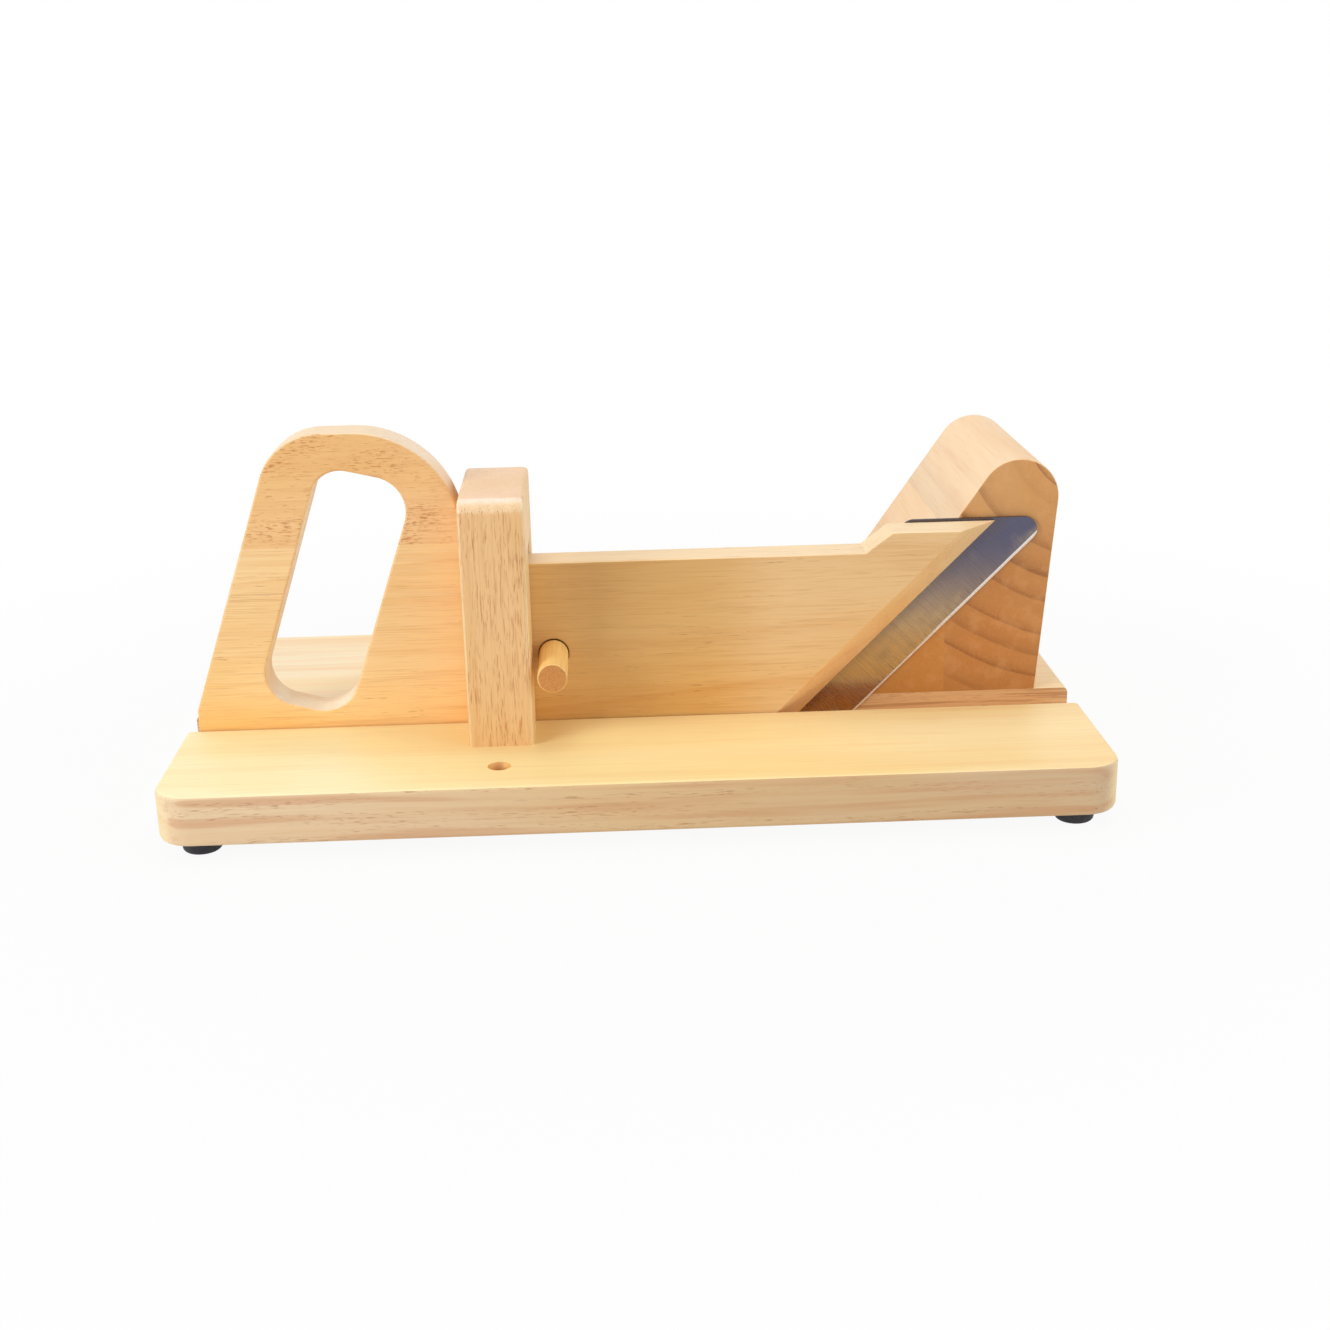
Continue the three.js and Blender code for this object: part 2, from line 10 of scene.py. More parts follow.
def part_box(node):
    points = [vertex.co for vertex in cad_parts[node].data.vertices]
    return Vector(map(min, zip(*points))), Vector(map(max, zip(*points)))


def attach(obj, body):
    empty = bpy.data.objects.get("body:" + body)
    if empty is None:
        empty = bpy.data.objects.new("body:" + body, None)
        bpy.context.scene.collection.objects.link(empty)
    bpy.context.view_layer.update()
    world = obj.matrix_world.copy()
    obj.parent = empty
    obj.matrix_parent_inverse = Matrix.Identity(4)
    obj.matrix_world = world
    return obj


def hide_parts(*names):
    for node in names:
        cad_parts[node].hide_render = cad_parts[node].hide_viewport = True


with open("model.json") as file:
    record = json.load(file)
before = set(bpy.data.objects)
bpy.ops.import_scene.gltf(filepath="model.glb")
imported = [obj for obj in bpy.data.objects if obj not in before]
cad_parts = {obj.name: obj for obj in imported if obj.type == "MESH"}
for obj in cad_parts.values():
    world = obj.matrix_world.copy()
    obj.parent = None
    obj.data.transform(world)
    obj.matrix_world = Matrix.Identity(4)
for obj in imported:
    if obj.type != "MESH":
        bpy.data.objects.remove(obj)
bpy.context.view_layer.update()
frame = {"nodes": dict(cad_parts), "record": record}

MM = 0.001
AXES = {"X": 0, "Y": 1, "Z": 2}
WHITE = (1, 1, 1, 1)

# Finer copies
WELD = 0.001 * MM
SAME_PLANE = 0.01 * MM
SOFT_EDGE = 0.22 * MM
SHARP = math.radians(35)
FLAT = math.radians(0.3)
NORMAL_WEIGHT = 60

# Camera: the photograph's own view, fitted to the base's printed length
PHOTO_WIDTH = 1330
FOCAL_PIXELS = 1822.156
SENSOR_WIDTH = 36
CLIP_START = 10 * MM
CAMERA_PLACE = Vector((-8.363, -568.895, 219.983)) * MM
PITCH = math.radians(18.398)
ROLL = math.radians(-1.260)
YAW = math.radians(1.875)

# Light and floor
ROOM_LIGHT = 0.38
LIT_POINT = Vector((0, 0, 50 * MM))
FLOOR_RADIUS = 4.0
FLOOR_SIDES = 64
FLOOR_GREY = (0.72, 0.72, 0.72, 1)
FLOOR_GLOW = 0.93
SHADOW_REACH = 160 * MM
SHADOW_END = 400 * MM

# Places in the frame that tones, marks and joints are tied to
base_low, base_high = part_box("base_board")
arch_low, arch_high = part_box("guide_arch")
carriage_low, carriage_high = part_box("carriage_board")
handle_low, handle_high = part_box("handle_top")
blade_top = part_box("blade")[1].z
anvil_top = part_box("anvil_right")[1].z
anvil_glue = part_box("anvil_left")[1].x

# Fixing hole in the base's front rail, in line with the arch
FIXING_INSET = 16.8 * MM
FIXING_REACH = 4 * MM
FIXING_FADE = 1 * MM

# Colour sockets of the Mix node, whose names occur once for each kind of data
MIX_SHARE = 0
MIX_FIRST = 6
MIX_SECOND = 7
MIX_RESULT = 2


def tone(red, green, blue):
    """Linear colour from the 0 to 255 values that a picture shows."""
    def linear(value):
        share = value / 255
        return share / 12.92 if share <= 0.04045 else ((share + 0.055) / 1.055) ** 2.4
    return (linear(red), linear(green), linear(blue), 1.0)


def add_camera():
    """Camera at the photograph's place, turned by its three angles."""
    forward = Vector((math.sin(YAW) * math.cos(PITCH), math.cos(YAW) * math.cos(PITCH), -math.sin(PITCH)))
    level = Vector((math.cos(YAW), -math.sin(YAW), 0))
    above = level.cross(forward)
    right = math.cos(ROLL) * level + math.sin(ROLL) * above
    up = math.cos(ROLL) * above - math.sin(ROLL) * level
    data = bpy.data.cameras.new("camera")
    data.sensor_width = SENSOR_WIDTH
    data.lens = FOCAL_PIXELS / PHOTO_WIDTH * SENSOR_WIDTH
    data.clip_start = CLIP_START
    camera = bpy.data.objects.new("camera", data)
    bpy.context.scene.collection.objects.link(camera)
    turn = Matrix((right, up, -forward)).transposed().to_4x4()
    camera.matrix_world = Matrix.Translation(CAMERA_PLACE) @ turn
    bpy.context.scene.camera = camera


class Graph:
    """One material's node tree, with short calls for the nodes it is made of."""

    def __init__(self, name):
        self.material = bpy.data.materials.new(name)
        self.material.use_nodes = True
        self.tree = self.material.node_tree
        self.shader = self.tree.nodes["Principled BSDF"]
        coordinates = self.add("TexCoord")
        self.place = coordinates.outputs["Object"]
        self.along = self.add("SeparateXYZ", {0: self.place}).outputs
        self.normal = self.add("SeparateXYZ", {0: coordinates.outputs["Normal"]}).outputs

    def feed(self, socket, value):
        """Link another node's output to a socket, or set the socket to a constant."""
        if isinstance(value, bpy.types.NodeSocket):
            self.tree.links.new(value, socket)
        else:
            socket.default_value = value

    def add(self, kind, inputs=(), **settings):
        node = self.tree.nodes.new("ShaderNode" + kind)
        for key, value in settings.items():
            setattr(node, key, value)
        for key, value in dict(inputs).items():
            self.feed(node.inputs[key], value)
        return node

    def math(self, operation, first, second=0.0):
        return self.add("Math", {0: first, 1: second}, operation=operation).outputs[0]

    def both(self, first, second):
        """Product of two masks, or of a mask and a share."""
        return self.math("MULTIPLY", first, second)

    def vector(self, operation, first, second=(0, 0, 0)):
        return self.add("VectorMath", {0: first, 1: second}, operation=operation).outputs

    def spread(self, value, low, high, to_low=0.0, to_high=1.0):
        """Value rescaled smoothly from low..high to another range, and held at its ends."""
        inputs = {"Value": value, "From Min": low, "From Max": high, "To Min": to_low, "To Max": to_high}
        return self.add("MapRange", inputs, interpolation_type="SMOOTHSTEP").outputs["Result"]

    def blend(self, share, first, second, mode="MIX"):
        node = self.add("Mix", data_type="RGBA", blend_type=mode)
        self.feed(node.inputs[MIX_SHARE], share)
        self.feed(node.inputs[MIX_FIRST], first)
        self.feed(node.inputs[MIX_SECOND], second)
        return node.outputs[MIX_RESULT]

    def noise(self, scale, offset, detail=2.0, roughness=0.5, output="Fac"):
        mapped = self.add("Mapping", {"Vector": self.place, "Scale": scale, "Location": offset})
        inputs = {"Vector": mapped.outputs["Vector"], "Scale": 1.0, "Detail": detail, "Roughness": roughness}
        return self.add("TexNoise", inputs).outputs[output]

    def facing(self, axis):
        """How squarely the surface faces along an axis, either way."""
        return self.math("ABSOLUTE", self.normal[axis])

    def between(self, axis, low, high, fade):
        """1 where the place along an axis is between two values, with a fade outside them."""
        rise = self.spread(self.along[axis], low - fade, low)
        return self.both(rise, self.spread(self.along[axis], high + fade, high))

    def eased(self, first, second):
        """1 on the rounded edges between the faces of two axes."""
        turned = self.spread(self.facing(first), 0.12, 0.4)
        return self.both(turned, self.spread(self.facing(second), 0.12, 0.4))

    def bump(self, height, strength, distance):
        inputs = {"Height": height, "Strength": strength, "Distance": distance}
        self.feed(self.shader.inputs["Normal"], self.add("Bump", inputs).outputs["Normal"])


class Wood:
    """Solid oiled wood. Every mark is drawn out along the grain, so it runs on round each edge.

    Sizes are a length and a width in millimetres. Levels are the two values of the noise
    at which a mark begins and is full."""

    def __init__(self, name, grain, light, dark, seed, wave=3.0):
        self.graph = g = Graph(name)
        self.axis = AXES[grain]
        self.seed = seed
        self.relief = None
        bend = g.noise(self.scale(130, 45), self.offset(), detail=1.0, output="Color")
        swing = [wave * MM] * 3
        swing[self.axis] = 0.0
        moved = g.vector("MULTIPLY", g.vector("SUBTRACT", bend, (0.5, 0.5, 0.5))[0], swing)[0]
        g.place = g.vector("ADD", g.place, moved)[0]
        self.end = g.spread(g.facing(grain), 0.6, 0.95)
        self.colour = g.blend(self.field((170, 40), (0.34, 0.66)), light, dark)

    def offset(self):
        """Another place in the noise for each field, so that no two repeat."""
        self.seed += 1.37
        return (self.seed * 1.7, self.seed * 2.3, self.seed * 3.1)

    def scale(self, length, width):
        """Scale of the noise along the three axes for a size."""
        factors = [1 / (width * MM)] * 3
        factors[self.axis] = 1 / (length * MM)
        return factors

    def field(self, size, levels):
        """Noise of one size, 0 below the first level and 1 above the second."""
        return self.graph.spread(self.graph.noise(self.scale(*size), self.offset()), *levels)

    def rings(self, heart, tilt, spacing, colour, share, end_share=None):
        """Growth rings about a heart line, which leans from the grain by two small angles in degrees.

        The heart and the spacing are in millimetres. Each year darkens slowly and ends in a thin line."""
        g = self.graph
        late = 0.93
        across = [1.0] * 3
        across[self.axis] = 0.0
        turn = [math.radians(tilt[0])] * 3
        turn[(self.axis + 1) % 3] = math.radians(tilt[1])
        turn[self.axis] = 0.0
        place = g.vector("SUBTRACT", g.place, [value * MM for value in heart])[0]
        leaned = g.add("Mapping", {"Vector": place, "Rotation": turn}).outputs["Vector"]
        distance = g.vector("LENGTH", g.vector("MULTIPLY", leaned, across)[0])["Value"]
        even = g.math("DIVIDE", distance, spacing * MM)
        drift = g.add("TexNoise", {"W": even, "Scale": 0.45, "Detail": 1.0}, noise_dimensions="1D")
        count = g.math("ADD", even, g.math("MULTIPLY", drift.outputs["Fac"], 2.2))
        phase = g.math("FRACT", count)
        fall = g.spread(phase, 1.0, late)
        slow = g.both(g.spread(phase, 0.25, 0.95), fall)
        thin = g.both(g.spread(phase, 0.7, late), fall)
        line = g.math("MULTIPLY", g.math("ADD", slow, thin), 0.5)
        year = g.add("TexWhiteNoise", {"W": g.math("FLOOR", count)}, noise_dimensions="1D")
        line = g.both(line, g.spread(year.outputs["Value"], 0.1, 0.9, 0.15, 1.0))
        if end_share is None:
            force = share
        else:
            force = g.spread(self.end, 0.0, 1.0, share, end_share)
        self.colour = g.blend(g.both(line, force), self.colour, colour)

    def marks(self, size, levels, share, colour, patch=None, where=None, depth=0.0):
        """Streaks, fibres or pores that take a share of a colour, and may sink into the bump.

        A patch is the size and levels of a second field that they keep to, and where is a mask."""
        g = self.graph
        mark = self.field(size, levels)
        if patch:
            mark = g.both(mark, self.field(*patch))
        if where:
            mark = g.both(mark, where)
        self.colour = g.blend(g.both(mark, share), self.colour, colour)
        if depth:
            sunk = g.both(mark, depth)
            self.relief = g.math("ADD", self.relief, sunk) if self.relief else sunk

    def tint(self, where, red, green, blue, share=1.0):
        """Another tone on some faces, with the marks still showing through."""
        g = self.graph
        toned = g.blend(1.0, self.colour, (red, green, blue, 1), "MULTIPLY")
        self.colour = g.blend(g.both(where, share), self.colour, toned)

    def done(self, roughness):
        """The material, with fine fibres in its sheen and its bump."""
        g = self.graph
        g.feed(g.shader.inputs["Base Color"], self.colour)
        fibre = g.noise(self.scale(14, 0.45), self.offset(), roughness=0.6)
        sheen = g.spread(fibre, 0.25, 0.75, roughness - 0.07, roughness + 0.1)
        g.feed(g.shader.inputs["Roughness"], sheen)
        height = g.math("MULTIPLY", fibre, 0.5)
        if self.relief:
            height = g.math("SUBTRACT", height, self.relief)
        g.bump(height, strength=0.3, distance=0.12 * MM)
        return g.material


def base_wood():
    """Pale board: wide faint bands, and short brown dashes in layers along its edges."""
    wood = Wood("base_wood", "X", tone(250, 233, 185), tone(249, 223, 161), seed=1.0)
    g = wood.graph
    fade = 3 * MM
    upright = g.spread(g.facing("Y"), 0.5, 0.95)
    channel = g.both(upright, g.between("Y", carriage_low.y, carriage_high.y, fade))
    edge = g.math("SUBTRACT", upright, channel)
    rear = g.spread(g.along["Y"], carriage_high.y, carriage_high.y + fade)
    rear_sides = g.both(rear, g.spread(g.facing("X"), 0.7, 0.4))
    hole_x = (arch_low.x + arch_high.x) / 2
    hole_y = base_low.y + FIXING_INSET
    hole = g.both(g.between("X", hole_x - FIXING_REACH, hole_x + FIXING_REACH, FIXING_FADE),
                  g.between("Y", hole_y - FIXING_REACH, hole_y + FIXING_REACH, FIXING_FADE))
    countersink = g.both(hole, g.spread(g.normal["Z"], 0.98, 0.9))
    # Mask rising towards the right end, for painted shade where the light falls off.
    shade_to_right = g.spread(g.along["X"], base_low.x, base_high.x)
    front_rail = g.both(g.spread(g.normal["Z"], 0.9, 0.98),
                        g.spread(g.along["Y"], carriage_low.y, carriage_low.y - fade))
    wood.rings((0, -40, -95), (1.5, 1.0), spacing=11, colour=tone(236, 188, 120), share=0.26)
    wood.marks((260, 7), (0.48, 0.72), 0.22, tone(238, 192, 124))
    wood.marks((60, 0.9), (0.5, 0.75), 0.18, tone(230, 182, 116))
    wood.marks((22, 0.4), (0.5, 0.75), 0.16, tone(220, 170, 108))
    # Painted shade: the upright front and back faces are darker than the top.
    wood.tint(edge, 0.88, 0.77, 0.8)
    # Painted shade: the upright faces darken towards the right.
    wood.tint(g.both(edge, shade_to_right), 0.83, 0.82, 0.83)
    wood.tint(front_rail, 1.0, 1.08, 1.12)
    # Painted shade: the front rail's top darkens and turns more orange towards the right.
    wood.tint(g.both(front_rail, shade_to_right), 1.04, 0.89, 0.76)
    # Painted shade with a painted warm bounce: the channel's walls are darker and more orange.
    wood.tint(channel, 1.0, 0.76, 0.6)
    wood.marks((90, 4), (0.46, 0.6), 0.3, tone(246, 200, 146), where=rear_sides)
    # Painted light: the rear rail, seen through the grip, is paler and pinker.
    wood.tint(rear_sides, 1.03, 1.02, 1.16)
    # Painted shade: the countersink's walls are darker and more orange.
    wood.tint(countersink, 0.94, 0.72, 0.42)
    wood.marks((90, 3.2), (0.45, 0.65), 0.48, tone(206, 146, 102), where=edge)
    layers = ((60, 2.4), (0.5, 0.66))
    wood.marks((3.8, 0.3), (0.55, 0.68), 0.62, tone(166, 104, 62), layers, upright, depth=0.6)
    wood.marks((40, 0.6), (0.48, 0.64), 0.75, tone(168, 98, 46), where=channel, depth=0.4)
    clusters = ((70, 12), (0.5, 0.7))
    wood.marks((9, 0.4), (0.66, 0.76), 0.35, tone(196, 134, 76), clusters, depth=0.5)
    wood.tint(wood.end, 0.88, 0.78, 0.68, share=0.7)
    return wood.done(roughness=0.44)


def carriage_wood():
    """Golden board with fine fibres and a few longer brown dashes; painted shade deepens the bar, most
    beside the arch, a painted warm bounce colours its lower part, and painted light pales the tops and the
    grip's walls.
    """
    wood = Wood("carriage_wood", "X", tone(251, 215, 160), tone(247, 198, 126), seed=21.0)
    g = wood.graph
    front = g.spread(g.facing("Y"), 0.7, 0.95)
    lines_top = handle_low.z - 13.65 * MM
    lines_end = carriage_low.x + 26.55 * MM
    heel_lines = g.both(g.between("Z", lines_top - 7 * MM, lines_top, 2 * MM),
                        g.spread(g.along["X"], lines_end + 12 * MM, lines_end))
    bar = g.both(front, g.spread(g.along["X"], arch_high.x - 8 * MM, arch_high.x + 32 * MM))
    shade_end = arch_high.x + 52 * MM
    shade_fade = 30 * MM
    arch_shadow = g.both(front, g.between("X", arch_high.x, shade_end, shade_fade))
    low = g.both(front, g.spread(g.along["Z"], base_high.z + 29.2 * MM, base_high.z + 3.2 * MM))
    low_bar = g.both(low, g.spread(g.along["X"], shade_end + shade_fade, shade_end))
    chamfer = g.both(g.spread(g.normal["X"], 0.3, 0.45), g.spread(g.normal["Y"], -0.5, -0.6))
    low_chamfer = g.both(chamfer, g.spread(g.along["Z"], base_high.z + 49.2 * MM, base_high.z + 9.2 * MM))
    grip_start = arch_low.x - 8.25 * MM
    inside_grip = g.both(g.spread(g.along["X"], grip_start, grip_start - 10 * MM),
                         g.spread(g.facing("Y"), 0.5, 0.2))
    left_of_grip = g.both(inside_grip, g.spread(g.normal["X"], 0.3, 0.7))
    wood.rings((-20, 60, -70), (2.5, 4.0), spacing=13, colour=tone(232, 168, 94), share=0.3)
    wood.marks((150, 5), (0.45, 0.72), 0.24, tone(230, 168, 98))
    wood.marks((38, 0.6), (0.5, 0.72), 0.22, tone(214, 150, 84))
    wood.marks((12, 0.28), (0.52, 0.74), 0.26, tone(192, 128, 68))
    wood.marks((30, 0.5), (0.5, 0.72), 0.3, tone(253, 224, 176))
    clusters = ((45, 9), (0.5, 0.66))
    wood.marks((7, 0.36), (0.64, 0.73), 0.7, tone(158, 90, 40), clusters, depth=0.3)
    wood.marks((30, 0.34), (0.52, 0.66), 0.4, tone(186, 122, 64), where=heel_lines, depth=0.5)
    # Painted shade: the bar right of the arch is darker.
    wood.tint(bar, 0.85, 0.81, 0.77)
    # Painted warm bounce from the base: the bar's lower part is more orange.
    wood.tint(low_bar, 1.06, 1.0, 0.86)
    # Painted shadow of the arch on the bar beside it.
    wood.tint(arch_shadow, 0.86, 0.8, 0.62)
    wood.tint(low_chamfer, 1.08, 1.04, 1.06)
    # Painted highlight: faces turned upwards are paler.
    wood.tint(g.spread(g.normal["Z"], 0.3, 0.9), 1.0, 1.08, 1.25)
    # Painted light: the walls of the grip, and most its left wall, are paler.
    wood.tint(inside_grip, 1.02, 1.12, 1.36)
    wood.tint(left_of_grip, 1.02, 1.14, 1.3)
    wood.tint(wood.end, 0.94, 0.84, 0.74, share=0.8)
    return wood.done(roughness=0.42)


def handle_wood():
    """Tan wood with crowded short pores, in patches on its front and back."""
    wood = Wood("handle_wood", "X", tone(247, 203, 146), tone(240, 190, 124), seed=41.0)
    g = wood.graph
    front = g.spread(g.facing("Y"), 0.4, 0.8)
    grip_middle = (handle_low.x + handle_high.x) / 2
    inside_grip = g.both(g.spread(g.along["X"], grip_middle + 6 * MM, grip_middle - 4 * MM),
                         g.spread(g.normal["X"], 0.3, 0.7))
    wood.marks((90, 4), (0.46, 0.7), 0.25, tone(230, 174, 108))
    wood.marks((26, 0.6), (0.48, 0.72), 0.28, tone(218, 158, 94))
    wood.marks((12, 0.32), (0.5, 0.74), 0.22, tone(206, 142, 80))
    clusters = ((26, 8), (0.42, 0.6))
    wood.marks((2.3, 0.4), (0.52, 0.66), 0.66, tone(190, 108, 46), clusters, front, depth=0.7)
    wood.marks((3.0, 0.42), (0.62, 0.72), 0.45, tone(178, 100, 42), where=front, depth=0.6)
    # Painted highlight: faces turned upwards are much paler.
    wood.tint(g.spread(g.normal["Z"], 0.2, 0.8), 1.06, 1.38, 2.3)
    # Painted light: the grip's left wall is paler.
    wood.tint(inside_grip, 1.06, 1.36, 1.85)
    wood.tint(wood.end, 0.98, 0.96, 0.98, share=0.8)
    return wood.done(roughness=0.44)


def arch_wood():
    """Upright tan wood with dense fine flecks, painted highlights on its rounded edges and the end grain on
    top, and painted light on its right side.
    """
    wood = Wood("arch_wood", "Z", tone(240, 196, 140), tone(231, 184, 120), seed=61.0, wave=2.0)
    g = wood.graph
    side = g.spread(g.facing("Z"), 0.8, 0.3)
    wood.marks((90, 3), (0.45, 0.7), 0.25, tone(224, 170, 106))
    wood.marks((30, 0.5), (0.48, 0.7), 0.3, tone(212, 154, 94))
    dense = ((30, 3.5), (0.38, 0.58))
    wood.marks((5, 0.34), (0.52, 0.66), 0.64, tone(184, 110, 56), dense, side, depth=0.5)
    sparse = ((40, 6), (0.45, 0.6))
    wood.marks((8, 0.4), (0.62, 0.72), 0.5, tone(166, 92, 44), sparse, side, depth=0.5)
    # Painted highlight on the rounded edges.
    wood.tint(g.eased("X", "Y"), 1.05, 1.2, 1.42)
    wood.tint(g.eased("Y", "Z"), 1.05, 1.2, 1.5)
    # Painted highlight: the end grain on top is paler and pinker.
    wood.tint(wood.end, 1.06, 1.16, 1.58)
    # Painted light on the right side.
    wood.tint(g.spread(g.normal["X"], 0.6, 0.95), 1.1, 1.28, 1.4)
    return wood.done(roughness=0.44)


def anvil_wood(name, light, dark, seed, heart, ring_share, end_grain_and_shade):
    """Long grain from front to back: faint lines on the slanted face, growth rings on the end grain."""
    wood = Wood(name, "Y", light, dark, seed, wave=5.0)
    g = wood.graph
    low_end = g.both(wood.end, g.spread(g.along["Z"], anvil_top - 9.8 * MM, anvil_top - 37.8 * MM))
    # End grain darker than the long grain, partly its own tone and partly painted shade of its recess behind
    # the carriage, and darker still towards the bottom.
    wood.tint(wood.end, *end_grain_and_shade)
    wood.tint(low_end, 0.85, 0.685, 0.49)
    wood.rings(heart, (2.0, 1.5), spacing=9, colour=tone(128, 68, 28), share=0.08, end_share=ring_share)
    wood.marks((80, 5), (0.45, 0.72), 0.22, tone(232, 174, 114))
    wood.marks((30, 0.7), (0.5, 0.74), 0.2, tone(222, 160, 100))
    wood.marks((4, 0.4), (0.6, 0.72), 0.3, tone(156, 96, 48), where=wood.end, depth=0.5)
    return wood.done(roughness=0.42)


def anvil_left_wood():
    return anvil_wood("anvil_left_wood", tone(250, 216, 172), tone(247, 206, 154), seed=81.0,
                      heart=(40, 0, -60), ring_share=0.12, end_grain_and_shade=(0.763, 0.57, 0.3))


def anvil_right_wood():
    return anvil_wood("anvil_right_wood", tone(250, 218, 176), tone(248, 208, 158), seed=91.0,
                      heart=(150, 0, 110), ring_share=0.62, end_grain_and_shade=(0.7, 0.505, 0.3))


def pin_wood():
    """Golden dowel with fine lines along it and speckled, darker ends."""
    wood = Wood("pin_wood", "Y", tone(253, 218, 146), tone(250, 206, 126), seed=101.0, wave=0.6)
    wood.marks((40, 0.8), (0.45, 0.7), 0.28, tone(228, 162, 86))
    wood.marks((16, 0.4), (0.5, 0.72), 0.2, tone(206, 138, 68))
    wood.tint(wood.end, 0.66, 0.44, 0.32)
    wood.marks((3, 0.36), (0.52, 0.68), 0.42, tone(140, 84, 44), where=wood.end, depth=0.5)
    return wood.done(roughness=0.42)


def blade_steel():
    """Steel ground across its width, with painted reflections: slate blue at the top, warm below and paler
    at the foot; painted shade beside the wood, and a painted highlight on the bevel at the edge.
    """
    g = Graph("blade_steel")
    diagonal = math.sqrt(0.5)
    edge = max((vertex.co.x - vertex.co.z) * diagonal for vertex in frame["nodes"]["blade"].data.vertices)
    run = g.math("MULTIPLY", g.math("ADD", g.along["X"], g.along["Z"]), diagonal)
    width = g.math("MULTIPLY", g.math("SUBTRACT", g.along["X"], g.along["Z"]), diagonal)
    g.place = g.add("CombineXYZ", {"X": run, "Y": width, "Z": g.along["Y"]}).outputs["Vector"]
    fine = g.noise((3600, 60, 60), (3, 5, 7), roughness=0.6)
    coarse = g.noise((1500, 150, 100), (8, 1, 6), roughness=0.6)
    smear = g.noise((48, 60, 50), (9, 2, 4), detail=3.0, roughness=0.55)
    descent = g.spread(g.along["Z"], blade_top - 5.4 * MM, blade_top - 43.4 * MM)
    foot = g.spread(g.along["Z"], base_high.z + 8.2 * MM, base_high.z + 0.7 * MM, 0.0, 0.7)
    behind = g.spread(width, edge - 9 * MM, edge - 13.7 * MM, 0.0, 0.35)
    near_edge = g.spread(width, edge - 6 * MM, edge + 2 * MM)
    groove = g.both(g.spread(coarse, 0.52, 0.66), g.spread(smear, 0.42, 0.62, 0.1, 0.6))
    back = g.blend(g.spread(fine, 0.4, 0.7), tone(204, 205, 208), tone(180, 181, 185))
    rim = g.spread(g.normal["Z"], 0.25, 0.5)
    # Strip of the front face along the edge, for a painted highlight.
    edge_glint = g.both(g.spread(width, edge - 1.3 * MM, edge - 1.0 * MM),
                   g.spread(g.along["Z"], base_high.z + 14.2 * MM, base_high.z + 29.2 * MM))
    front_glint = g.both(edge_glint, g.spread(g.normal["Y"], -0.9, -0.95))
    bevel = g.math("MAXIMUM", front_glint, g.spread(g.normal["Z"], -0.25, -0.4))
    # Painted reflection: slate blue at the top, turning warm below.
    shade = g.blend(descent, tone(96, 95, 114), tone(184, 152, 112))
    shade = g.blend(g.spread(smear, 0.5, 0.72, 0.0, 0.35), shade, tone(214, 186, 132))
    shade = g.blend(g.spread(smear, 0.48, 0.3, 0.0, 0.4), shade, tone(104, 96, 98))
    # Painted reflection: paler at the foot.
    shade = g.blend(foot, shade, tone(214, 204, 188))
    shade = g.blend(g.spread(fine, 0.45, 0.7, 0.0, 0.2), shade, tone(84, 78, 78))
    # Painted shade next to the wood.
    shade = g.blend(behind, shade, tone(92, 82, 78))
    shade = g.blend(g.both(groove, near_edge), shade, tone(66, 60, 60))
    shade = g.blend(g.spread(g.normal["Y"], -0.3, 0.3), shade, back)
    shade = g.blend(rim, shade, tone(52, 42, 46))
    # Painted highlight: near white, and less metallic, on the bevel and the strip along the edge.
    shade = g.blend(bevel, shade, tone(252, 250, 247))
    g.feed(g.shader.inputs["Base Color"], shade)
    g.feed(g.shader.inputs["Metallic"], g.spread(bevel, 0.0, 1.0, 1.0, 0.2))
    g.shader.inputs["Anisotropic"].default_value = 0.4
    g.feed(g.shader.inputs["Roughness"], g.spread(fine, 0.3, 0.7, 0.2, 0.36))
    g.bump(g.math("ADD", fine, groove), strength=0.12, distance=0.04 * MM)
    return g.material


def screw_steel():
    """Zinc plate with faint cloudy tarnish."""
    g = Graph("screw_steel")
    cloud = g.noise((420, 420, 420), (2, 6, 1), detail=4.0, roughness=0.6)
    plate = g.blend(g.spread(cloud, 0.35, 0.7), tone(214, 214, 210), tone(158, 160, 162))
    g.feed(g.shader.inputs["Base Color"], plate)
    g.shader.inputs["Metallic"].default_value = 1.0
    g.feed(g.shader.inputs["Roughness"], g.spread(cloud, 0.3, 0.7, 0.24, 0.42))
    g.bump(cloud, strength=0.08, distance=0.05 * MM)
    return g.material


def foot_rubber():
    """Moulded black rubber with a fine grain and a little dust."""
    g = Graph("foot_rubber")
    grain = g.noise((2400, 2400, 2400), (1, 8, 3), roughness=0.6)
    dust = g.noise((180, 180, 180), (4, 4, 9), detail=3.0, roughness=0.6)
    black = g.blend(g.spread(dust, 0.45, 0.8), tone(34, 31, 36), tone(62, 58, 62))
    g.feed(g.shader.inputs["Base Color"], black)
    g.feed(g.shader.inputs["Roughness"], g.spread(grain, 0.3, 0.7, 0.55, 0.78))
    g.bump(grain, strength=0.3, distance=0.08 * MM)
    return g.material


def make_materials():
    """Materials by the name of a node, or by the slot of all nodes that share one."""
    return {
        "base_board": base_wood(),
        "carriage_board": carriage_wood(),
        "handle_top": handle_wood(),
        "guide_arch": arch_wood(),
        "anvil_left": anvil_left_wood(),
        "anvil_right": anvil_right_wood(),
        "lock_pin": pin_wood(),
        "blade_steel": blade_steel(),
        "screw_steel": screw_steel(),
        "foot_rubber": foot_rubber(),
    }


def in_plane(edge, axis, value):
    return all(abs(vertex.co[AXES[axis]] - value) < SAME_PLANE for vertex in edge.verts)


